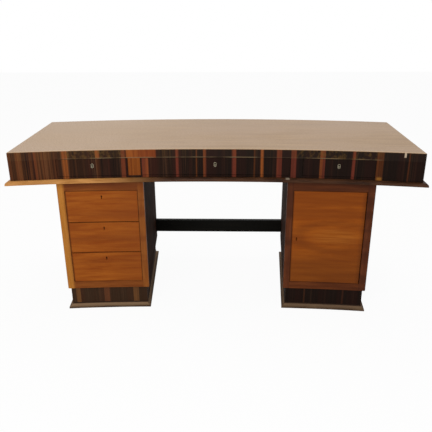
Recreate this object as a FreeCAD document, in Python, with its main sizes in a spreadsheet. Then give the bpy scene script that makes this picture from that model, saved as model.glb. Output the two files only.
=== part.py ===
import FreeCAD, Part
import os
import re
import Sketcher

# Writing desk with a hollow-curved front and a bowed back, two pedestals,
# seven lockable parts. Millimetres, floor at z 0, user in front at -y.

TOUCH = 0.01

os.makedirs("parts", exist_ok=True)
doc = FreeCAD.newDocument("writing_desk")

SIZES = {
    # plan of the top: arcs through its corners give every curved face
    "front_hollow": 70, "back_bow": 80, "end_depth": 626,
    # widths along the front of the upper case, from the middle outwards
    "middle_half": 325, "divider_wide": 53, "drawer_wide": 306, "end_wide": 196,
    # heights, from the floor up
    "plinth_high": 107, "low_rail_high": 35, "opening_high": 452, "top_rail_high": 45,
    "lip_thick": 16, "rail_high": 10, "drawer_high": 78, "top_thick": 37,
    # upper case
    "face_thick": 22, "board_thick": 18, "lip": 19, "ovolo": 12, "edge_ease": 2,
    "bearer_width": 28,
    # pedestals
    "ped_over": 371, "ped_wide": 383, "ped_deep": 606, "ped_turn": 3.6, "ped_set": 54.7,
    "stile": 28, "outer_stile": 33, "corner_round": 8, "guide_height": 50,
    "guide_play": 0.3, "bearer_thick": 13, "bearer_lip": 9,
    # bases
    "plinth_set": 12, "plinth_thick": 16, "base_reach": 15.5, "base_high": 24,
    "base_square": 7, "base_neck": 1, "cove": 13,
    # stretcher between the pedestals
    "stretch_rise": 156, "stretch_high": 69, "stretch_in": 16, "stretch_thick": 22,
    # drawers
    "gap": 1.6, "bear_play": 0.6, "drawer_side": 12, "tray_thick": 6,
    "tray_rise": 10, "groove": 5, "drawer_long": 422, "middle_long": 439,
    "stack_long": 408, "stack_head": 20, "apron_head": 8,
    "tail_long": 15, "tail_wide": 21, "tail_slope": 3, "overrun": 2,
    # locks
    "key_drop": 27, "lock_half": 25, "lock_up": 18, "lock_deep": 10,
    "key_radius": 3.5, "slot_half": 2, "slot_long": 13, "plate_half": 5.6,
    "plate_up": 5.6, "plate_down": 15, "plate_round": 5.2, "plate_proud": 0.8,
    "plate_sunk": 1.2,
    # cupboard
    "shelf_rise": 233, "shelf_set": 8, "door_key_in": 22, "door_key_rise": 224,
    "pivot_in": 6, "pivot_radius": 2.5, "pivot_play": 0.1, "pivot_long": 12,
    "door_lock_half": 32, "door_lock_wide": 46,
}

DERIVED = {
    "side_near": "middle_half + divider_wide",
    "side_far": "side_near + drawer_wide",
    "desk_half": "side_far + end_wide",
    "front_radius": "(desk_half^2 + front_hollow^2) / (2 * front_hollow)",
    "back_radius": "(desk_half^2 + back_bow^2) / (2 * back_bow)",
    "lip_dip": "front_radius - front_hollow"
               " - sqrt((front_radius - lip)^2 - (desk_half + lip)^2)",
    "front_corner": "(lip_dip - lip - end_depth - back_bow) / 2",
    "front_arc_y": "front_corner + front_hollow - front_radius",
    "back_arc_y": "front_corner + end_depth + back_bow - back_radius",
    "front_low": "plinth_high + low_rail_high",
    "front_high": "front_low + opening_high",
    "body_top": "front_high + top_rail_high",
    "case_base": "body_top + lip_thick",
    "drawer_base": "case_base + rail_high",
    "top_underside": "drawer_base + drawer_high",
    "top_level": "top_underside + top_thick",
    "ped_mid": "desk_half - ped_over",
    "ped_half": "ped_wide / 2",
    "ped_front": "front_corner + ped_set",
    "turn_sin": "sin(ped_turn)",
    "turn_cos": "cos(ped_turn)",
    "face_radius": "front_radius",
    "face_arc_y": "-sqrt(front_radius^2 - ped_half^2)",
    "rear_radius": "back_radius",
    "rear_arc_y": "ped_deep - sqrt(back_radius^2 - ped_half^2)",
    "stack_rise": "opening_high / 3",
    "guide_near": "stile + gap - board_thick - guide_play",
    "guide_far": "outer_stile + gap - board_thick - guide_play",
    "shelf_low": "plinth_high + board_thick + shelf_rise",
    "door_key_level": "front_low + door_key_rise",
}

dims = doc.addObject("Spreadsheet::Sheet", "dims")
CELLS = dict(SIZES, **{name: "=" + text for name, text in DERIVED.items()})
for row, (name, value) in enumerate(CELLS.items(), start=1):
    dims.set("A%d" % row, name)
    dims.set("B%d" % row, str(value))
    dims.setAlias("B%d" % row, name)
doc.recompute()


def bound(text):
    """Turn plain size names into references to the sheet."""
    return re.sub(r"[a-z_]+", lambda m: "dims." + m[0] if m[0] in CELLS else m[0], text)


def number(text):
    return float(dims.evalExpression(bound(text)))


def level(edge, x):
    """Depth of a plan edge at x: an arc of the front or back, or a straight line."""
    kind, offset = edge
    if kind == "line":
        return "(%s)" % offset
    return "(%s_arc_y + sqrt((%s_radius + %s)^2 - (%s)^2))" % (kind, kind, offset, x)


def plan(body, label, x_low, x_high, near, far):
    """A closed plan between two straight ends and two curved or straight edges.
    An end that runs at a slant is given as its x at the near and the far edge."""
    plane = next(f for f in body.Origin.OriginFeatures if f.Role == "XY_Plane")
    sketch = body.newObject("Sketcher::SketchObject", label + "_plan")
    sketch.AttachmentSupport = [(plane, "")]
    sketch.MapMode = "FlatFace"
    ends = [x if isinstance(x, tuple) else (x, x) for x in (x_low, x_high)]
    spots = [(ends[0][0], near), (ends[1][0], near), (ends[1][1], far), (ends[0][1], far)]
    texts = [(x, level(edge, x)) for x, edge in spots]
    points = [FreeCAD.Vector(number(x), number(y), 0) for x, y in texts]
    for index in range(4):
        start, end = points[index], points[(index + 1) % 4]
        kind, offset = (near, None, far, None)[index] or ("line", None)
        if index % 2 or kind == "line":
            sketch.addGeometry(Part.LineSegment(start, end), False)
            continue
        radius = number("%s_radius + %s" % (kind, offset))
        middle = FreeCAD.Vector(0, number("%s_arc_y" % kind), 0)
        left, right = (start, end) if start.x < end.x else (end, start)
        sweep = [(p - middle).getAngle(FreeCAD.Vector(1, 0, 0)) for p in (right, left)]
        circle = Part.Circle(middle, FreeCAD.Vector(0, 0, 1), radius)
        sketch.addGeometry(Part.ArcOfCircle(circle, sweep[0], sweep[1]), False)
    # an arc runs anticlockwise, so a near edge starts at its right end
    starts, stops = [1, 1, 1, 1], [2, 2, 2, 2]
    if near[0] != "line":
        starts[0], stops[0] = 2, 1
    for index in range(4):
        follow = (index + 1) % 4
        sketch.addConstraint(Sketcher.Constraint(
            "Coincident", index, stops[index], follow, starts[follow]))
    for index, (x, y) in enumerate(texts):
        for kind, text in (("DistanceX", x), ("DistanceY", y)):
            number_of = sketch.addConstraint(Sketcher.Constraint(
                kind, -1, 1, index, starts[index], number(text)))
            sketch.setExpression("Constraints[%d]" % number_of, bound(text))
    for index, edge in ((0, near), (2, far)):
        if edge[0] != "line":
            text = "%s_radius + %s" % edge
            number_of = sketch.addConstraint(Sketcher.Constraint("Radius", index, number(text)))
            sketch.setExpression("Constraints[%d]" % number_of, bound(text))
    sketch.Visibility = False
    return sketch


def pad(body, sketch, length):
    feature = body.newObject("PartDesign::Pad", sketch.Label + "_pad")
    feature.Profile = sketch
    feature.setExpression("Length", bound(length))


DESK = {"x": "0", "y": "0", "turn": 0}
STANDS = {
    "left": {"x": "-ped_mid", "y": "ped_front", "turn": 1},
    "right": {"x": "ped_mid", "y": "ped_front", "turn": -1},
}


def placed(feature, stand, x, y, z):
    """Put a feature at a point of the desk, or of a pedestal turned on its stand."""
    turn = stand["turn"]
    axis = FreeCAD.Vector(0, 0, 1)
    spin = FreeCAD.Rotation(axis, number("ped_turn") * turn)
    feature.Placement.Rotation = spin.multiply(feature.Placement.Rotation)
    if turn:
        x, y = ("%s + (%s) * turn_cos - (%s) * turn_sin * %d" % (stand["x"], x, y, turn),
                "%s + (%s) * turn_sin * %d + (%s) * turn_cos" % (stand["y"], x, turn, y))
    for name, text in zip("xyz", (x, y, z)):
        feature.setExpression(".Placement.Base." + name, bound(text))
    return feature


def slab(label, x_low, x_high, near, far, z_low, z_high, stand=DESK):
    """A board of one thickness with that plan."""
    body = doc.addObject("PartDesign::Body", label)
    body.Label = label
    pad(body, plan(body, label, x_low, x_high, near, far), "(%s) - (%s)" % (z_high, z_low))
    return placed(body, stand, "0", "0", z_low)


def rounded(body, size, test):
    """Round the edges of a board that pass a test in its own frame."""
    doc.recompute()
    base = body.Tip
    names = ["Edge%d" % (n + 1) for n, e in enumerate(base.Shape.Edges) if test(e)]
    feature = body.newObject("PartDesign::Fillet", body.Label + "_round")
    feature.Base = (base, names)
    feature.setExpression("Radius", bound(size))
    body.Tip = feature
    return body


def touches(e, **place):
    """Whether every end of an edge lies at the given x, y or z."""
    return all(abs(getattr(v.Point, axis) - value) < TOUCH
               for v in e.Vertexes for axis, value in place.items())


def along_depth(e):
    """Whether an edge of a board runs straight from its near to its far face."""
    return len({(round(v.Point.x, 3), round(v.Point.z, 3)) for v in e.Vertexes}) == 1


def cut(label, base, *tools):
    for index, tool in enumerate(tools):
        feature = doc.addObject("Part::Cut", label + "_cut%d" % index)
        feature.Base = base
        feature.Tool = tool
        base = feature
    base.Label = label
    return base


def group(label, pieces):
    feature = doc.addObject("Part::Compound", label)
    feature.Links = pieces
    feature.Label = label
    return feature


def cylinder(label, radius, length, x, y, z, stand=DESK, along_y=False):
    feature = doc.addObject("Part::Cylinder", label)
    feature.setExpression("Radius", bound(radius))
    feature.setExpression("Height", bound(length))
    if along_y:
        feature.Placement.Rotation = FreeCAD.Rotation(FreeCAD.Vector(1, 0, 0), -90)
    return placed(feature, stand, x, y, z)


def span(side, low, high):
    """The x range of a piece on the right, or its mirror image on the left."""
    return (low, high) if side == "right" else ("-(%s)" % high, "-(%s)" % low)


def front(offset):
    return ("front", "(%s)" % offset)


def back(offset):
    return ("back", "(%s)" % offset)


def face(offset):
    """The same curve on a pedestal's own front, and rear on its back."""
    return ("face", "(%s)" % offset)


def rear(offset):
    return ("rear", "(%s)" % offset)


NODES = []


def keep(piece):
    NODES.append(piece)
    return piece


# Upper case: top board
top = slab("top_board", "-desk_half", "desk_half", front("0"), back("0"),
           "top_underside", "top_level")
keep(rounded(top, "edge_ease", lambda e: touches(e, z=number("top_thick"))))

# Upper case: bottom board with the rounded lip that runs round the desk
bottom = slab("case_bottom", "-(desk_half + lip)", "desk_half + lip", front("-lip"),
              back("lip"), "body_top", "case_base")
keep(rounded(bottom, "ovolo", lambda e: touches(e, z=number("lip_thick"))))

# Upper case: rail under the drawers and back
keep(slab("front_rail", "-side_far", "side_far", front("0"), front("face_thick"),
          "case_base", "drawer_base"))
keep(slab("case_back", "-(desk_half - board_thick)", "desk_half - board_thick",
          back("-board_thick"), back("0"), "case_base", "top_underside"))

# Upper case: fixed fronts, ends, dividers, partitions and guides on each side
case_rear = back("-board_thick")
for side in ("left", "right"):
    keep(slab("fixed_front_" + side, *span(side, "side_far", "desk_half"),
              front("0"), front("face_thick"), "case_base", "top_underside"))
    keep(slab("case_end_" + side, *span(side, "desk_half - board_thick", "desk_half"),
              front("face_thick"), back("0"), "case_base", "top_underside"))
    keep(slab("divider_" + side, *span(side, "middle_half", "side_near"),
              front("0"), front("face_thick"), "drawer_base", "top_underside"))
    walls = [
        slab("wall_%s_%s" % (name, side), *span(side, low, high), front("face_thick"),
             case_rear, "case_base", "top_underside")
        for name, low, high in (
            ("inner", "middle_half", "middle_half + board_thick"),
            ("outer", "side_near - board_thick", "side_near"))
    ]
    keep(group("partition_" + side, walls))
    keep(slab("guide_" + side, *span(side, "side_far", "side_far + board_thick"),
              front("face_thick"), case_rear, "case_base", "top_underside"))

# Upper case: bearers that carry the three drawers
bearers = []
for side in ("left", "right"):
    for name, low, high in (
            ("middle", "middle_half - bearer_width", "middle_half"),
            ("near", "side_near", "side_near + bearer_width"),
            ("far", "side_far - bearer_width", "side_far")):
        bearers.append(slab("bearer_%s_%s" % (name, side), *span(side, low, high),
                            front("face_thick"), case_rear, "case_base", "drawer_base"))
keep(group("case_bearers", bearers))

# Pedestal carcasses: face frame, sides, back, boards, plinth and base moulding.
# Each pedestal is square in plan and turned on its stand to follow the curve.
inner_near = "board_thick - ped_half"
inner_far = "ped_half - board_thick"
opening_near = "stile - ped_half"
opening_far = "ped_half - outer_stile"
frame_rear = face("face_thick")
inner_rear = rear("-board_thick")

shelf = slab("cupboard_shelf", inner_near + " - groove", inner_far + " + groove",
             face("face_thick + shelf_set"), inner_rear, "shelf_low",
             "shelf_low + board_thick", STANDS["right"])

for side in ("left", "right"):
    name = "pedestal_%s_" % side
    sign = 1 if side == "right" else -1
    stand = STANDS[side]

    def part(label, low, high, near, far, z_low, z_high):
        return slab(name + label, *span(side, low, high), near, far, z_low, z_high, stand)

    for label, low, high in (("outer_side", inner_far, "ped_half"),
                             ("inner_side", "-ped_half", inner_near)):
        board = part(label, low, high, frame_rear, rear("0"), "plinth_high", "body_top")
        if side == "right":
            board.Label = label + "_blank"
            board = cut(name + label, board, shelf)
        keep(board)
    keep(part("back", inner_near, inner_far, inner_rear, rear("0"), "plinth_high", "body_top"))
    keep(group(name + "boards", [
        part("floor", inner_near, inner_far, frame_rear, inner_rear,
             "plinth_high", "plinth_high + board_thick"),
        part("ceiling", inner_near, inner_far, frame_rear, inner_rear,
             "body_top - board_thick", "body_top"),
    ]))
    outer_stile = part("outer_stile", opening_far, "ped_half", face("0"), frame_rear,
                       "plinth_high", "body_top")
    corner = {"x": sign * number("ped_half"), "y": 0}
    rounded(outer_stile, "corner_round", lambda e: touches(e, **corner))
    keep(group(name + "frame", [
        outer_stile,
        part("inner_stile", "-ped_half", opening_near, face("0"), frame_rear,
             "plinth_high", "body_top"),
        part("top_rail", opening_near, opening_far, face("0"), frame_rear,
             "front_high", "body_top"),
        part("low_rail", opening_near, opening_far, face("0"), frame_rear,
             "plinth_high", "front_low"),
    ]))

    def ring(label, inset, z_high):
        """A block whose four walls stand in from the body by an amount."""
        return part(label, "(%s) - ped_half" % inset, "ped_half - (%s)" % inset,
                    face(inset), rear("-(%s)" % inset), "0", z_high)

    keep(cut(name + "plinth", ring("plinth_block", "plinth_set", "plinth_high"),
             ring("plinth_hollow", "plinth_set + plinth_thick", "plinth_high")))
    skirt = ring("base_block", "plinth_set - base_reach", "base_square")
    neck_in = "(plinth_set - base_neck)"
    neck = plan(skirt, name + "neck", *span(side, neck_in + " - ped_half",
                                            "ped_half - " + neck_in),
                face(neck_in), rear("-" + neck_in))
    pad(skirt, neck, "base_high")
    reach = number("ped_half - " + neck_in)
    rounded(skirt, "cove", lambda e: touches(e, z=number("base_square")) and all(
        abs(v.Point.x) < reach + TOUCH for v in e.Vertexes))
    keep(cut(name + "base_moulding", skirt, ring("base_core", "plinth_set", "base_high")))
keep(shelf)

# Bearers and side guides of the three left-hand drawers
guides = []
for index in range(3):
    floor_level = "front_low + stack_rise * %d" % index
    for end, low_edge, high_edge, width in (
            ("near", inner_near, inner_near + " + %s", "guide_near"),
            ("far", inner_far + " - (%s)", inner_far, "guide_far")):
        for kind, reach, low, high in (
                ("bearer", width + " + bearer_lip", "0", "bearer_thick"),
                ("guide", width, "bearer_thick", "guide_height")):
            low_x, high_x = (edge % reach if "%" in edge else edge
                             for edge in (low_edge, high_edge))
            guides.append(slab("%s_%s_%d" % (kind, end, index), *span("left", low_x, high_x),
                               frame_rear, inner_rear, "%s + %s" % (floor_level, low),
                               "%s + %s" % (floor_level, high), STANDS["left"]))
keep(group("pedestal_left_bearers", guides))


def knee_wall(y):
    """How far from the middle a pedestal's inner side stands at a depth."""
    return ("ped_mid - ped_half / turn_cos + (%s - ped_front) * turn_sin / turn_cos" % y)


# Black stretcher rail between the pedestals, its ends cut to their slant
stretch_back = "ped_front + ped_deep - stretch_in"
stretch_front = stretch_back + " - stretch_thick"
reach = (knee_wall("(" + stretch_front + ")"), knee_wall("(" + stretch_back + ")"))
keep(slab("stretcher", tuple("-(%s)" % x for x in reach), reach, ("line", stretch_front),
          ("line", stretch_back), "stretch_rise", "stretch_rise + stretch_high"))


def keyhole(label, x, z, curve, depth, stand):
    """Round hole with a slot below it, cut in from a curved face."""
    y = level(curve("-overrun"), x)
    hole = cylinder(label + "_bore", "key_radius", "%s + overrun" % depth, x, y, z, stand, True)
    slot = doc.addObject("Part::Box", label + "_slot")
    for side, text in (("Length", "slot_half * 2"), ("Width", depth + " + overrun"),
                       ("Height", "slot_long")):
        slot.setExpression(side, bound(text))
    placed(slot, stand, "%s - slot_half" % x, y, "%s - slot_long" % z)
    return hole, slot


def tailed(name, board, x, curve, z_low, z_high, tails, stand):
    """A drawer side with dovetails at its front end, let into the drawer front."""
    pieces = [board]
    for index in range(tails):
        tail = doc.addObject("Part::Wedge", "%s_tail_%d" % (name, index))
        far = "tail_long + overrun"
        for key, text in (("Xmin", "0"), ("X2min", "0"), ("Xmax", "drawer_side"),
                          ("X2max", "drawer_side"), ("Ymin", "0"), ("Ymax", far),
                          ("Zmin", "0"), ("Zmax", "tail_wide"), ("Z2min", "tail_slope"),
                          ("Z2max", "tail_wide - tail_slope")):
            tail.setExpression(key, bound(text))
        height = "(%s) + ((%s) - (%s)) * %d / %d - tail_wide / 2" % (
            z_low, z_high, z_low, 2 * index + 1, 2 * tails)
        y = level(curve("face_thick - tail_long"), x + " + drawer_side / 2")
        pieces.append(placed(tail, stand, x, y, height))
    fused = doc.addObject("Part::MultiFuse", name + "_tailed")
    fused.Shapes = pieces
    fused.Refine = True
    return fused


def drawer(name, x_low, x_high, z_low, z_high, curve, length, bearing, head, tails, plate,
           stand=DESK):
    left = "%s + gap" % x_low
    right = "%s - gap" % x_high
    middle = "(%s + %s) / 2" % (x_low, x_high)
    inside = curve("face_thick")
    end = "%s + %s" % (level(inside, length[0]), length[1])
    side_low = "%s + %s" % (z_low, bearing)
    side_high = "%s - %s" % (z_high, head)
    tray = slab(name + "_bottom", "%s + drawer_side - groove" % left,
                "%s - drawer_side + groove" % right, curve("face_thick - groove"),
                ("line", "%s - drawer_side + groove" % end), "%s + tray_rise" % side_low,
                "%s + tray_rise + tray_thick" % side_low, stand)
    walls = []
    for edge, x in (("a", left), ("b", "%s - drawer_side" % right)):
        board = slab("%s_side_%s" % (name, edge), x, "%s + drawer_side" % x, inside,
                     ("line", end), side_low, side_high, stand)
        walls.append(tailed("%s_%s" % (name, edge), board, x, curve, side_low, side_high,
                            tails, stand))
    walls.append(slab(name + "_rear", "%s + drawer_side" % left, "%s - drawer_side" % right,
                      ("line", "%s - drawer_side" % end), ("line", end),
                      side_low, side_high, stand))
    sides = group(name + "_walls", walls)
    key_level = "%s - key_drop" % z_high
    lock = slab(name + "_lock_body", "%s - lock_half" % middle, "%s + lock_half" % middle,
                curve("face_thick - lock_deep"), inside, "%s - lock_up" % key_level,
                "%s + lock_up" % key_level, stand)
    panel = slab(name + "_blank", left, right, curve("0"), inside,
                 "%s + gap" % z_low, "%s - gap" % z_high, stand)
    hole, slot = keyhole(name + "_key", middle, key_level, curve, "face_thick - lock_deep",
                         stand)
    tools = [tray, lock, hole, slot] + walls[:2]
    lock_parts = [lock]
    if plate:
        blank = slab(name + "_plate_blank", "%s - plate_half" % middle,
                     "%s + plate_half" % middle, curve("-plate_proud"),
                     curve("plate_sunk"), "%s - plate_down" % key_level,
                     "%s + plate_up" % key_level, stand)
        rounded(blank, "plate_round", along_depth)
        tools.append(blank)
        lock_parts.append(cut(name + "_plate", blank, hole, slot))
    keep(cut(name + "_front", panel, *tools))
    keep(cut(name + "_sides", sides, tray))
    keep(tray)
    keep(group(name + "_lock", lock_parts))


# Three drawers in the upper case
for name, low, high, length in (
        ("left", "-side_far", "-side_near", ("side_near", "drawer_long")),
        ("middle", "-middle_half", "middle_half", ("middle_half", "middle_long")),
        ("right", "side_near", "side_far", ("side_near", "drawer_long"))):
    drawer("apron_%s" % name, low, high, "drawer_base", "top_underside", front, length,
           "bear_play", "apron_head", 2, True)

# Three drawers in the left pedestal, lowest first
for index, name in enumerate(("low", "mid", "high")):
    drawer("stack_" + name, *span("left", opening_near, opening_far),
           "(front_low + stack_rise * %d)" % index, "(front_low + stack_rise * %d)" % (index + 1),
           face, (opening_far, "stack_long"), "bearer_thick + bear_play", "stack_head", 4,
           False, STANDS["left"])

# Cupboard door on two hidden pivots near its outer edge
stand = STANDS["right"]
door_near = opening_near + " + gap"
door_far = opening_far + " - gap"
leaf = slab("door_blank", door_near, door_far, face("0"), frame_rear,
            "front_low + gap", "front_high - gap", stand)
corner = {"x": number(door_far), "y": number(level(face("0"), door_far))}
rounded(leaf, "pivot_in", lambda e: touches(e, **corner))
pivot_x = "%s - pivot_in" % door_far
pivot_y = level(face("pivot_in"), pivot_x)
pins, sockets = [], []
for name, low in (("top", "front_high - pivot_long"), ("foot", "front_low - pivot_long")):
    pins.append(cylinder("pin_" + name, "pivot_radius", "pivot_long * 2",
                         pivot_x, pivot_y, low, stand))
    sockets.append(cylinder("socket_" + name, "pivot_radius + pivot_play",
                            "pivot_long * 2 + pivot_play * 2", pivot_x, pivot_y,
                            low + " - pivot_play", stand))
lock_box = slab("door_lock", door_near, "%s + door_lock_wide" % door_near,
                face("face_thick - lock_deep"), frame_rear,
                "door_key_level - door_lock_half", "door_key_level + door_lock_half", stand)
hole, slot = keyhole("door_key", "%s + door_key_in" % door_near, "door_key_level",
                     face, "face_thick - lock_deep", stand)
keep(cut("door_panel", leaf, lock_box, hole, slot, *sockets))
keep(lock_box)
keep(group("door_pivots", pins))

# The right frame is bored for the pivots
doc.recompute()
framed = next(n for n in NODES if n.Label == "pedestal_right_frame")
NODES.remove(framed)
framed.Label = "right_frame_blank"
keep(cut("pedestal_right_frame", framed, *pins))
doc.recompute()

for piece in doc.Objects:
    bad = [s for s in piece.State if s in ("Invalid", "Error")]
    if bad:
        raise RuntimeError("%s: %s" % (piece.Label, bad))
for piece in NODES:
    if piece.Shape.isNull() or not piece.Shape.isValid() or not piece.Shape.Solids:
        raise RuntimeError("bad shape: " + piece.Label)
    piece.Shape.exportStep("parts/%s.step" % piece.Label)
whole = Part.makeCompound([piece.Shape for piece in NODES]).BoundBox
print(len(NODES), "nodes", whole)
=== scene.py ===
import math
import bpy
from mathutils import Matrix, Vector

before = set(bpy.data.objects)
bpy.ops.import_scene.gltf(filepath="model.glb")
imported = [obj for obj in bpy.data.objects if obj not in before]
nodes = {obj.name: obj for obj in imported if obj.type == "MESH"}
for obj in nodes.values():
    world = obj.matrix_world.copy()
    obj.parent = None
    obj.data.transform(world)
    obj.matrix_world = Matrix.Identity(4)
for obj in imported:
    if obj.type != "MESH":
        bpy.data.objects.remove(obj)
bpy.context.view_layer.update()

# Room and camera: the desk stands alone on a plain white studio floor, seen
# from the sitter's side and a little above, as in the photograph.
scene = bpy.context.scene
scene.view_settings.view_transform = "Standard"

FRONT_CORNER = -0.3513
EYE_ASIDE, EYE_BACK, EYE_HIGH = 0.068, 2.1915, 1.3703
LOOK_YAW, LOOK_DOWN, LOOK_ROLL = -0.0288, 0.3786, -0.0056
FOCAL_PIXELS, PICTURE_PIXELS = 540, 432
eye = Vector((EYE_ASIDE, FRONT_CORNER - EYE_BACK, EYE_HIGH))
ahead = Vector((math.sin(LOOK_YAW) * math.cos(LOOK_DOWN),
                math.cos(LOOK_YAW) * math.cos(LOOK_DOWN), -math.sin(LOOK_DOWN)))
level_right = Vector((math.cos(LOOK_YAW), -math.sin(LOOK_YAW), 0))
level_up = level_right.cross(ahead)
right = math.cos(LOOK_ROLL) * level_right + math.sin(LOOK_ROLL) * level_up
up = math.cos(LOOK_ROLL) * level_up - math.sin(LOOK_ROLL) * level_right
lens = bpy.data.cameras.new("camera")
lens.sensor_width = 36
lens.lens = lens.sensor_width * FOCAL_PIXELS / PICTURE_PIXELS
camera = bpy.data.objects.new("camera", lens)
camera.matrix_world = Matrix.Translation(eye) @ Matrix(
    (right, up, -ahead)).transposed().to_4x4()
scene.collection.objects.link(camera)
scene.camera = camera

SKY_STRENGTH = 0.62
world = bpy.data.worlds.new("studio")
scene.world = world
world.use_nodes = True
sky = world.node_tree
sky.nodes.clear()
sky_out = sky.nodes.new("ShaderNodeOutputWorld")
sky_light = sky.nodes.new("ShaderNodeBackground")
sky_light.inputs["Strength"].default_value = SKY_STRENGTH
sky_seen = sky.nodes.new("ShaderNodeBackground")
sky_seen.inputs["Color"].default_value = (1, 1, 1, 1)
sky_mix = sky.nodes.new("ShaderNodeMixShader")
sky_ray = sky.nodes.new("ShaderNodeLightPath")
sky_any = sky.nodes.new("ShaderNodeMath")
sky_any.operation = "MAXIMUM"
sky.links.new(sky_ray.outputs["Is Camera Ray"], sky_any.inputs[0])
sky.links.new(sky_ray.outputs["Is Glossy Ray"], sky_any.inputs[1])
sky.links.new(sky_any.outputs[0], sky_mix.inputs[0])
sky.links.new(sky_light.outputs[0], sky_mix.inputs[1])
sky.links.new(sky_seen.outputs[0], sky_mix.inputs[2])
sky.links.new(sky_mix.outputs[0], sky_out.inputs[0])


def softbox(name, place, aim, size, watts):
    lamp = bpy.data.lights.new(name, "AREA")
    lamp.shape = "RECTANGLE"
    lamp.size, lamp.size_y = size
    lamp.energy = watts
    box = bpy.data.objects.new(name, lamp)
    box.location = place
    box.rotation_euler = (Vector(aim) - Vector(place)).to_track_quat("-Z", "Y").to_euler()
    scene.collection.objects.link(box)


softbox("softbox_front", (-1.2, -3.6, 2.4), (0, 0, 0.4), (2.4, 1.6), 80)
softbox("softbox_over", (0.3, 0.6, 3.0), (0, 0, 0.6), (3.0, 2.0), 30)

FLOOR_REACH, FLOOR_WHITENESS = 9, 0.95
floor_mesh = bpy.data.meshes.new("floor")
floor_corners = [(x * FLOOR_REACH, y * FLOOR_REACH, 0)
                 for x, y in ((-1, -1), (1, -1), (1, 1), (-1, 1))]
floor_mesh.from_pydata(floor_corners, [], [(0, 1, 2, 3)])
floor = bpy.data.objects.new("floor", floor_mesh)
scene.collection.objects.link(floor)
floor_paint = bpy.data.materials.new("floor_white")
floor_paint.use_nodes = True
tree = floor_paint.node_tree
tree.nodes.clear()
floor_out = tree.nodes.new("ShaderNodeOutputMaterial")
matt = tree.nodes.new("ShaderNodeBsdfDiffuse")
matt.inputs["Color"].default_value = (0.8, 0.8, 0.79, 1)
glow = tree.nodes.new("ShaderNodeEmission")
glow.inputs["Color"].default_value = (1, 1, 1, 1)
shade = tree.nodes.new("ShaderNodeMixShader")
ray = tree.nodes.new("ShaderNodeLightPath")
share = tree.nodes.new("ShaderNodeMath")
share.operation = "MULTIPLY"
share.inputs[1].default_value = FLOOR_WHITENESS
tree.links.new(ray.outputs["Is Camera Ray"], share.inputs[0])
tree.links.new(share.outputs[0], shade.inputs[0])
tree.links.new(matt.outputs[0], shade.inputs[1])
tree.links.new(glow.outputs[0], shade.inputs[2])
tree.links.new(shade.outputs[0], floor_out.inputs[0])
floor_mesh.materials.append(floor_paint)

# Apron: the ends, fixed fronts, rail and drawer fronts are one belt of matched
# dark striped ebony veneer, grain upright, thin worn polish. Red-brown stripes
# of sapwood mark where two leaves meet.


def paint(hexed):
    """A colour as a painter mixes it, from its screen value."""
    parts = [int(hexed[i:i + 2], 16) / 255 for i in (0, 2, 4)]
    return [c / 12.92 if c < 0.04045 else ((c + 0.055) / 1.055) ** 2.4 for c in parts] + [1]


DESK_HALF, FRONT_HOLLOW = 0.880, 0.070
FRONT_RADIUS = (DESK_HALF ** 2 + FRONT_HOLLOW ** 2) / (2 * FRONT_HOLLOW)
DRAWER_BASE = 0.665


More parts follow.
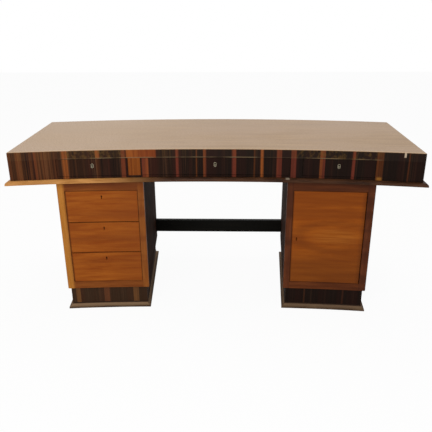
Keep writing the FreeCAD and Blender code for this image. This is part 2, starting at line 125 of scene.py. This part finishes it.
class Finish:
    """Lays a procedural finish down node by node."""

    def __init__(self, name):
        self.made = bpy.data.materials.new(name)
        self.made.use_nodes = True
        self.tree = self.made.node_tree
        self.skin = self.tree.nodes["Principled BSDF"]
        self.place = self.add("ShaderNodeTexCoord").outputs["Object"]
        split = self.add("ShaderNodeSeparateXYZ")
        self.tree.links.new(self.place, split.inputs[0])
        self.x, self.y, self.z = split.outputs

    def add(self, kind, **settings):
        node = self.tree.nodes.new(kind)
        for name, value in settings.items():
            setattr(node, name, value)
        return node

    def feed(self, socket, value):
        if isinstance(value, bpy.types.NodeSocket):
            self.tree.links.new(value, socket)
        else:
            socket.default_value = value

    def math(self, operation, *values):
        node = self.add("ShaderNodeMath", operation=operation)
        for socket, value in zip(node.inputs, values):
            self.feed(socket, value)
        return node.outputs[0]

    def grain(self, scale, detail=4.0, rough=0.55, shift=(0, 0, 0)):
        """Noise drawn out along the grain, from 0 to 1 about a middle of 0.5."""
        spread = self.add("ShaderNodeMapping")
        self.tree.links.new(self.place, spread.inputs["Vector"])
        spread.inputs["Scale"].default_value = scale
        spread.inputs["Location"].default_value = shift
        node = self.add("ShaderNodeTexNoise")
        node.inputs["Scale"].default_value = 1.0
        node.inputs["Detail"].default_value = detail
        node.inputs["Roughness"].default_value = rough
        self.feed(node.inputs["Vector"], spread.outputs[0])
        return node.outputs[0]

    def ramp(self, factor, *stops):
        node = self.add("ShaderNodeValToRGB")
        band = node.color_ramp
        while len(band.elements) < len(stops):
            band.elements.new(0.5)
        for element, (where, colour) in zip(band.elements, stops):
            element.position = where
            element.color = paint(colour) if isinstance(colour, str) else [colour] * 3 + [1]
        self.feed(node.inputs[0], factor)
        return node.outputs[0]

    def mixed(self, factor, under, over):
        node = self.add("ShaderNodeMix", data_type="RGBA")
        self.feed(node.inputs[0], factor)
        for socket, value in ((node.inputs[6], under), (node.inputs[7], over)):
            self.feed(socket, paint(value) if isinstance(value, str) else value)
        return node.outputs[2]

    def slope(self, value, start, stop, low=0.0, high=1.0):
        """A smooth rise or fall between two places along a value."""
        node = self.add("ShaderNodeMapRange", interpolation_type="SMOOTHSTEP")
        self.feed(node.inputs["Value"], value)
        for name, number in (("From Min", start), ("From Max", stop),
                             ("To Min", low), ("To Max", high)):
            node.inputs[name].default_value = number
        return node.outputs[0]

    def strip(self, value, middle, half, soft, strength=1.0):
        """A strength within a half width of a middle, 0 outside it."""
        off = self.math("ABSOLUTE", self.math("SUBTRACT", value, middle))
        return self.slope(off, half - soft, half + soft, strength, 0.0)

    def both(self, *masks):
        """Where all of the masks hold: their product."""
        total = masks[0]
        for mask in masks[1:]:
            total = self.math("MULTIPLY", total, mask)
        return total

    def strongest(self, *masks):
        """Where any of the masks holds: the largest of them."""
        total = masks[0]
        for mask in masks[1:]:
            total = self.math("MAXIMUM", total, mask)
        return total

    def distance(self, one, other):
        """The length of a slant whose two legs are given."""
        return self.math("SQRT", self.math("ADD", self.both(one, one),
                                           self.both(other, other)))

    def polish(self, colour, rough, bump=None, depth=0.0004, gloss=0.1):
        """Give the surface its colour, its roughness and the relief of its grain."""
        self.feed(self.skin.inputs["Base Color"], colour)
        self.feed(self.skin.inputs["Roughness"], rough)
        self.skin.inputs["Specular IOR Level"].default_value = gloss
        if bump is not None:
            node = self.add("ShaderNodeBump")
            node.inputs["Strength"].default_value = 0.5
            node.inputs["Distance"].default_value = depth
            self.feed(node.inputs["Height"], bump)
            self.feed(self.skin.inputs["Normal"], node.outputs[0])
        return self.made

    def set_in(self):
        """How far a point lies behind the hollow front's surface."""
        forward = self.math("SUBTRACT", self.y, FRONT_CORNER + FRONT_HOLLOW - FRONT_RADIUS)
        return self.math("SUBTRACT", self.distance(self.x, forward), FRONT_RADIUS)


def dress(finish, *names):
    """Cover the named pieces of the CAD model with a finish."""
    for name in names:
        mesh = nodes[name].data
        mesh.materials.clear()
        mesh.materials.append(finish)


# Each stripe has its middle along the desk, its half width and how strong it
# shows. The faded one is nearly gone on the drawer but strong on the top's edge.
FADED = -0.507
STRIPES = (
    (-0.872, 0.004, 0.5), (-0.842, 0.003, 0.35), (-0.7685, 0.004, 0.75), (-0.735, 0.003, 0.3),
    (-0.646, 0.011, 1.0), (FADED, 0.009, 0.12), (-0.397, 0.009, 0.75), (-0.303, 0.013, 1.0),
    (-0.165, 0.0065, 0.9), (-0.080, 0.003, 0.35), (-0.045, 0.006, 0.85), (0.082, 0.009, 0.8),
    (0.169, 0.003, 0.25), (0.2025, 0.0065, 0.85), (0.276, 0.011, 0.85), (0.339, 0.011, 0.85),
    (0.461, 0.011, 0.75), (0.590, 0.006, 0.9), (0.700, 0.014, 0.3), (0.815, 0.003, 0.25),
)
STRIPE_SOFT = 0.0025


def striped_ebony(finish, stripes, dark, mid, light, orange, red):
    """Upright streaks of ebony with stripes of lighter sapwood."""
    fine = finish.grain((210, 210, 2.0), 3, 0.6)
    broad = finish.grain((62, 62, 0.8), 3, 0.55, (3, 1, 0))
    streak = finish.math("ADD", finish.both(fine, 0.45), finish.both(broad, 0.55))
    wood = finish.ramp(streak, (0.40, dark), (0.46, mid), (0.51, dark), (0.56, mid),
                       (0.62, light))
    tint = finish.grain((21, 21, 0.4), 2, 0.5, (6, 2, 0))
    wood = finish.mixed(finish.slope(tint, 0.45, 0.62, 0.0, 0.45), wood, "3d1a12")
    # Painted shade: the ebony darkens towards the right, away from the light from the left.
    wood = finish.mixed(finish.slope(finish.x, -0.42, 0.1, 0.0, 0.68), wood, "110a07")
    sway = finish.grain((9, 9, 1.5), 2, 0.5, (0, 4, 1))
    along = finish.math("ADD", finish.x, finish.math("MULTIPLY_ADD", sway, 0.008, -0.004))
    total = finish.strongest(*[finish.strip(along, middle, half, STRIPE_SOFT, strength)
                               for middle, half, strength in stripes])
    sap = finish.mixed(finish.slope(finish.grain((6, 6, 0.3), 1, 0.5, (2, 7, 0)), 0.42, 0.56),
                       orange, red)
    sap = finish.mixed(finish.slope(fine, 0.4, 0.62, 0.4, 0.0), sap, mid)
    return finish.mixed(total, wood, sap), streak


ebony = Finish("ebony_apron")
skin, streak = striped_ebony(ebony, STRIPES, "170c07", "2c1a10", "4a3020", "8e4c20", "6a2e20")
# Painted highlight: the left end lighter where the light from the left falls.
lit_end = ebony.slope(ebony.x, -0.90, -0.45, 0.6, 0.0)
skin = ebony.mixed(lit_end, skin, ebony.ramp(streak, (0.43, "24140b"), (0.58, "6c3d1d")))
chip = ebony.both(ebony.strip(ebony.x, 0.700, 0.010, 0.006),
                  ebony.slope(ebony.z, DRAWER_BASE + 0.009, DRAWER_BASE - 0.003),
                  ebony.slope(ebony.y, 0.0, -0.1))
skin = ebony.mixed(chip, skin, "8a5a24")
dress(ebony.polish(skin, ebony.ramp(streak, (0.3, 0.42), (0.7, 0.55)), streak, 0.0002, 0.06),
      "front_rail", "fixed_front_left", "fixed_front_right", "divider_right",
      "case_end_left", "case_end_right", "case_back",
      "apron_left_front", "apron_middle_front", "apron_right_front")

# Left divider: the block between two drawers has lost its dark leaf and shows
# a plain orange-brown replacement veneer, grain upright.
repair = Finish("divider_patch")
skin = repair.ramp(repair.grain((150, 150, 3), 3), (0.35, "662f06"), (0.65, "804312"))
dress(repair.polish(skin, 0.45), "divider_left")

# Top board: thick board, its surface veneered in pale sun-bleached brown wood
# with the grain along the desk, its edge in the apron's ebony, the arris worn.
TOP_UNDERSIDE, TOP_LEVEL = 0.743, 0.780
top = Finish("top_veneer")
fine = top.grain((3.5, 110, 30), 5, 0.6)
cloud = top.grain((2.2, 4.5, 1), 4, 0.6, (2, 0, 0))
field = top.ramp(fine, (0.32, "967d64"), (0.66, "b49a7e"))
field = top.mixed(top.slope(cloud, 0.42, 0.62, 0.0, 0.5), field, "ae9680")
# Painted sheen: the surface paler and greyer towards the back.
field = top.mixed(top.slope(top.y, -0.10, 0.30, 0.0, 0.4), field, "ae9a88")
# Painted light: the surface lighter towards the left, where the light falls from.
field = top.mixed(top.slope(top.x, 0.1, -0.7, 0.0, 0.5), field, "c6ae96")
speck = top.grain((150, 150, 150), 3, 0.7, (4, 4, 0))
field = top.mixed(top.slope(speck, 0.56, 0.36, 0.0, 0.42), field, "8a705a")
# Painted highlight: a pale band along the front of the surface.
front_highlight_depth = top.set_in()
field = top.mixed(top.slope(front_highlight_depth, 0.016, 0.003, 0.0, 0.5), field, "d2b48e")
edge_stripes = [(middle, half, 0.85 if middle == FADED else strength)
                for middle, half, strength in STRIPES]
edge, streak = striped_ebony(top, edge_stripes, "1c1009", "33200f", "50351c", "8e4c22", "70341e")
facing = top.slope(top.y, 0.0, -0.1)
mottle = top.grain((60, 60, 40), 4, 0.7, (1, 5, 2))
olive = top.both(facing, top.slope(mottle, 0.46, 0.66, 0.0, 0.6),
                 top.strongest(top.strip(top.x, -0.515, 0.13, 0.01),
                               top.strip(top.x, 0.53, 0.17, 0.03, 0.8)))
edge = top.mixed(olive, edge, "64481f")
# Painted highlight: the left end of the edge lighter where the light from the left falls.
lit_end = top.slope(top.x, -0.90, -0.45, 0.6, 0.0)
edge = top.mixed(lit_end, edge, top.ramp(streak, (0.43, "2a180d"), (0.58, "70421e")))
patch = top.ramp(top.grain((90, 90, 9), 3), (0.35, "6c3210"), (0.65, "8e4c1c"))
patch = top.mixed(top.slope(top.x, -0.345, -0.30, 0.0, 0.6), patch, "682a12")
edge = top.mixed(top.both(facing, top.strip(top.x, -0.320, 0.064, 0.003)), edge, patch)
patches = top.grain((12, 12, 3), 2, 0.5, (8, 0, 0))
# Painted highlight: a broken pale line along the lower edge of the ebony face, above the
# drawers.
painted_highlight = top.both(facing, top.strip(top.z, TOP_UNDERSIDE + 0.0015, 0.0022, 0.0008),
                top.strip(top.x, 0.02, 0.68, 0.02),
                top.slope(patches, 0.38, 0.62, 0.1, 0.6))
edge = top.mixed(painted_highlight, edge, "7c684c")
nick = top.both(facing, top.strip(top.x, 0.797, 0.004, 0.001),
                top.slope(top.z, TOP_LEVEL - 0.023, TOP_LEVEL - 0.018))
edge = top.mixed(nick, edge, "b8a48c")
arris = top.slope(top.z, TOP_LEVEL - 0.0025, TOP_LEVEL - 0.0005, 0.0, 0.6)
edge = top.mixed(arris, edge, "a27f5a")
skin = top.mixed(top.math("GREATER_THAN", top.z, TOP_LEVEL - 0.0002), edge, field)
rough = top.ramp(fine, (0.3, 0.45), (0.7, 0.6))
dress(top.polish(skin, rough, fine, 0.00015), "top_board")

# Lip: the case's bottom board runs out in a rounded lip on all sides, nearly black
# with old polish at the right and painted orange-brown at the left as a painted highlight.
LIP_TOP = 0.655
lip = Finish("lip_veneer")
fine = lip.grain((9, 60, 60), 4)
lip_highlight = lip.ramp(fine, (0.35, "a06b34"), (0.65, "c48b4e"))
deep = lip.ramp(fine, (0.35, "2c190e"), (0.65, "4c2f1c"))
blend = lip.math("MULTIPLY_ADD", fine, 0.16, lip.x)
skin = lip.mixed(lip.slope(blend, -0.50, -0.12), lip_highlight, deep)
scuff = lip.both(lip.strip(lip.x, 0.315, 0.008, 0.003),
                 lip.slope(lip.z, LIP_TOP - 0.007, LIP_TOP - 0.003),
                 lip.slope(lip.y, 0.0, -0.1))
skin = lip.mixed(scuff, skin, "8a7a68")
dress(lip.polish(skin, 0.45, fine, 0.0002), "case_bottom")


# Pedestals: frames and fronts in honey-coloured veneer, level grain on drawer
# fronts and door, sides and back in near-black stained wood, polished.
def honey(finish, low, high, dark_band, scale=(3.2, 60, 60)):
    """Fine grain between two shades, with broad darker bands."""
    fine = finish.grain(scale, 5, 0.62)
    band = finish.grain((0.9, 16, 16), 3, 0.5, (1, 3, 5))
    skin = finish.ramp(fine, (0.32, low), (0.66, high))
    skin = finish.mixed(finish.slope(band, 0.56, 0.36, 0.0, 0.65), skin, dark_band)
    return skin, fine


PEDESTAL_OUT, PEDESTAL_FRONT, PEDESTAL_TURN = 0.509, -0.2966, math.radians(3.6)
PEDESTAL_INSIDE, PEDESTAL_DEEP = 0.1735, 0.606
OPENING_ASIDE, OPENING_HALF = 0.0025, 0.161
OPENING_LOW, OPENING_HIGH = 0.142, 0.594


def across(finish, hand):
    """How far a point lies beside the middle line of a turned pedestal, left hand 1."""
    middle = -PEDESTAL_OUT * hand * math.cos(PEDESTAL_TURN)
    set_back = hand * PEDESTAL_FRONT * math.sin(PEDESTAL_TURN)
    forward = finish.math("MULTIPLY_ADD", finish.y, hand * math.sin(PEDESTAL_TURN),
                          -middle - set_back)
    return finish.math("MULTIPLY_ADD", finish.x, math.cos(PEDESTAL_TURN), forward)


drawers = Finish("honey_drawers")
skin, fine = honey(drawers, "823c08", "9c5416", "74340a")
# Painted shade: the drawer fronts darker towards their right, away from the light from the left.
skin = drawers.mixed(drawers.slope(drawers.x, -0.52, -0.36, 0.0, 0.35), skin, "7c3d12")
beside = across(drawers, 1)
rise = (OPENING_HIGH - OPENING_LOW) / 3
storey = drawers.math("FRACT", drawers.math("MULTIPLY_ADD", drawers.z, 1 / rise,
                                            -OPENING_LOW / rise))
# Painted shade: dark lines along the drawer edges and between the drawers, where shade falls in
# the gaps.
painted_edge_shade = drawers.strongest(drawers.strip(beside, -0.157, 0.0045, 0.0025, 0.65),
                        drawers.strip(beside, 0.162, 0.003, 0.002, 0.2),
                        drawers.slope(storey, 0.965, 0.985, 0.0, 0.5),
                        drawers.slope(storey, 0.03, 0.012, 0.0, 0.2))
skin = drawers.mixed(painted_edge_shade, skin, "4a2206")
dress(drawers.polish(skin, 0.42, fine, 0.00015), "stack_low_front",
      "stack_mid_front", "stack_high_front")

FIGURE_X, FIGURE_Z, FIGURE_WIDE, FIGURE_TALL = 0.545, 0.385, 0.13, 0.05
door = Finish("honey_door")
skin, fine = honey(door, "823d06", "9c5110", "743507")
ripple = door.grain((4, 4, 40), 3, 0.6, (3, 0, 0))
wavy = door.math("MULTIPLY_ADD", ripple, 0.02, door.z)
up_off = door.math("DIVIDE", door.math("SUBTRACT", wavy, FIGURE_Z), FIGURE_TALL)
in_off = door.math("DIVIDE", door.math("SUBTRACT", door.x, FIGURE_X), FIGURE_WIDE)
reach = door.distance(up_off, in_off)
glow_figure = door.slope(reach, 1.15, 0.35, 0.0, 0.4)
rim_figure = door.strip(reach, 1.35, 0.25, 0.2, 0.42)
skin = door.mixed(rim_figure, skin, "6a3209")
skin = door.mixed(glow_figure, skin, door.ramp(door.grain((4, 60, 150), 3), (0.38, "8c4c10"),
                                               (0.62, "b06a26")))
# Painted shade: the door darker towards the bottom.
skin = door.mixed(door.slope(door.z, 0.36, 0.20, 0.0, 0.6), skin, "66340d")
beside = across(door, -1)
# Painted shade: dark lines at the door's left, top and bottom edges, and broad shade along its
# right side.
painted_edge_shade = door.strongest(door.strip(beside, -0.162, 0.004, 0.002, 0.55),
                     door.slope(beside, 0.132, 0.155, 0.0, 0.4),
                     door.slope(door.z, OPENING_LOW + 0.0045, OPENING_LOW + 0.002, 0.0, 0.6),
                     door.slope(door.z, OPENING_HIGH - 0.0045, OPENING_HIGH - 0.002, 0.0, 0.6))
skin = door.mixed(painted_edge_shade, skin, "4a2208")
dress(door.polish(skin, 0.42, fine, 0.00015), "door_panel")


def framed(finish, hand, upright, level, joint):
    """Stiles with upright grain, rails with level grain, a fine dark line where they meet."""
    stiles, fine = honey(finish, *upright, (50, 50, 5))
    rails, _ = honey(finish, *level)
    beside = across(finish, hand)
    middle = OPENING_ASIDE * hand
    between = finish.strip(beside, middle, OPENING_HALF, 0.0005)
    within = finish.strip(beside, middle, OPENING_HALF + 0.0002, 0.0004, 0.5)
    wider = finish.strip(beside, middle, OPENING_HALF + 0.0015, 0.0004, 0.5)
    skin = finish.mixed(between, stiles, rails)
    return finish.mixed(finish.math("SUBTRACT", wider, within), skin, joint), fine, beside


frame_left = Finish("honey_frame")
skin, fine, beside = framed(frame_left, 1, ("733a12", "8c511f", "6b3310"),
                            ("6a3410", "86491a", "5e2c10"), "4a240c")
# Painted highlight: the outer stile lighter and golden, lit from the left.
skin = frame_left.mixed(frame_left.slope(beside, -0.152, -0.172, 0.0, 0.9), skin,
                        frame_left.ramp(fine, (0.35, "a26420"), (0.65, "ba7c34")))
dress(frame_left.polish(skin, 0.42, fine, 0.00015), "pedestal_left_frame")

frame_right = Finish("brown_frame")
skin, fine, _ = framed(frame_right, -1, ("4a220e", "64341a", "3e1c0c"),
                       ("4e240e", "6a3616", "3e1c0c"), "2a120a")
dress(frame_right.polish(skin, 0.42, fine, 0.00015), "pedestal_right_frame")

for name, hand in (("left", 1), ("right", -1)):
    side = Finish("stained_side_" + name)
    skin, fine = honey(side, "26140c", "3a2216", "1c0f09", (6, 60, 8))
    beside = side.math("ABSOLUTE", across(side, hand))
    aside = side.math("ADD", side.x, PEDESTAL_OUT * hand)
    deep = side.both(side.math("SUBTRACT", side.y, PEDESTAL_FRONT), math.cos(PEDESTAL_TURN))
    behind = side.math("MULTIPLY_ADD", aside, -hand * math.sin(PEDESTAL_TURN), deep)
    inside = side.both(side.slope(beside, PEDESTAL_INSIDE + 0.0015, PEDESTAL_INSIDE + 0.0005),
                       side.slope(behind, PEDESTAL_DEEP - 0.005, PEDESTAL_DEEP - 0.007))
    bare_grain = side.ramp(side.grain((6, 60, 60), 4), (0.35, "805f3a"), (0.65, "9c7a4c"))
    dress(side.polish(side.mixed(inside, skin, bare_grain), 0.7, fine, 0.00015, 0.02),
          *["pedestal_%s_%s" % (name, board) for board in ("inner_side", "outer_side", "back")])

# Bases: recessed plinths in the same striped ebony, each standing in a coved
# moulding, its cove face painted lighter grey-brown as a painted highlight,
# stronger at the left, and its top painted darker as painted shade.
PLINTH_STRIPES = (
    (-0.658, 0.010, 0.9), (-0.522, 0.013, 0.9), (-0.383, 0.013, 0.8), (0.42, 0.004, 0.2),
    (0.60, 0.004, 0.2),
)
MOULDING_SQUARE, MOULDING_HIGH = 0.007, 0.024
plinth = Finish("ebony_plinth")
skin, streak = striped_ebony(plinth, PLINTH_STRIPES, "1c110b", "33221a", "463022",
                             "80522c", "6e3c24")
# Painted light: the left pedestal's plinth lighter, lit from the left.
skin = plinth.mixed(plinth.slope(plinth.x, 0.1, -0.1, 0.0, 0.35), skin, "4a3420")
dress(plinth.polish(skin, 0.55, streak, 0.0002, 0.06), "pedestal_left_plinth",
      "pedestal_right_plinth")
moulding_light = Finish("moulding_painted_light")
fine = moulding_light.grain((12, 12, 40), 4)
skin = moulding_light.ramp(fine, (0.35, "3c2b20"), (0.65, "5c4836"))
COVE_TOP = (MOULDING_HIGH - 0.008, MOULDING_HIGH - 0.003)
# Painted highlight: the cove face lighter, more at the left.
painted_highlight = moulding_light.both(moulding_light.slope(moulding_light.z, MOULDING_SQUARE - 0.0015, MOULDING_SQUARE + 0.0015),
                    moulding_light.slope(moulding_light.z, *reversed(COVE_TOP)),
                    moulding_light.slope(moulding_light.x, 0.2, -0.2, 0.4, 0.8))
skin = moulding_light.mixed(painted_highlight, skin, "8a6e52")
# Painted shade: the top of the moulding darker.
skin = moulding_light.mixed(moulding_light.slope(moulding_light.z, *COVE_TOP), skin, "2e1f16")
dress(moulding_light.polish(skin, 0.6, fine, 0.0002), "pedestal_left_base_moulding",
      "pedestal_right_base_moulding")

# Stretcher: a plain wooden rail lacquered black, its ends cut at a slant and
# glued to the inner sides of the two pedestals near their backs.
black = Finish("black_lacquer")
fine = black.grain((4, 60, 60), 3)
dress(black.polish(black.ramp(fine, (0.3, "0c0b08"), (0.7, "15130e")), 0.5, fine, 0.0001, 0.08),
      "stretcher")

# Insides: drawer boxes, bearers, partitions and the cupboard's shelf are plain
# unpolished pale timber, browned with age, dovetailed or glued.
bare = Finish("bare_timber")
fine = bare.grain((60, 5, 60), 4)
cloud = bare.grain((5, 2, 5), 2)
skin = bare.ramp(fine, (0.35, "9a7648"), (0.65, "b8945f"))
skin = bare.mixed(bare.slope(cloud, 0.62, 0.4, 0.0, 0.5), skin, "86633c")
DRAWERS = ("apron_left", "apron_middle", "apron_right", "stack_low", "stack_mid", "stack_high")
dress(bare.polish(skin, 0.62, fine, 0.0002), "partition_left", "partition_right",
      "guide_left", "guide_right", "case_bearers", "cupboard_shelf",
      "pedestal_left_boards", "pedestal_right_boards", "pedestal_left_bearers",
      *[d + "_sides" for d in DRAWERS], *[d + "_bottom" for d in DRAWERS])

# Locks: cases of old brass let into each front, painted near-black as painted shade
# where the keyhole shows them. The apron drawers have small worn keyhole plates as well,
# and the door turns on two pins of the same brass.
brass = Finish("old_brass")
mark = brass.grain((400, 400, 400), 3)
skin = brass.ramp(mark, (0.35, "6e6450"), (0.65, "a59c86"))
# Painted shade: the brass turns near-black deeper than a few millimetres behind the front,
# inside the keyholes.
skin = brass.mixed(brass.slope(brass.set_in(), 0.002, 0.006), skin, "16110c")
brass.skin.inputs["Metallic"].default_value = 1.0
dress(brass.polish(skin, brass.ramp(mark, (0.3, 0.35), (0.7, 0.55)), mark, 0.0001, 0.5),
      "door_pivots", "apron_left_lock", "apron_middle_lock", "apron_right_lock")
# Painted shade: the lock cases behind the door and stack drawers near-black, where shade falls
# behind the keyholes.
case_shade = Finish("lock_case_painted_shade")
mark = case_shade.grain((90, 90, 90), 3)
case = case_shade.polish(case_shade.ramp(mark, (0.35, "120d09"), (0.65, "241b12")), 0.6, mark, 0.0001)
dress(case, "door_lock", "stack_low_lock", "stack_mid_lock", "stack_high_lock")
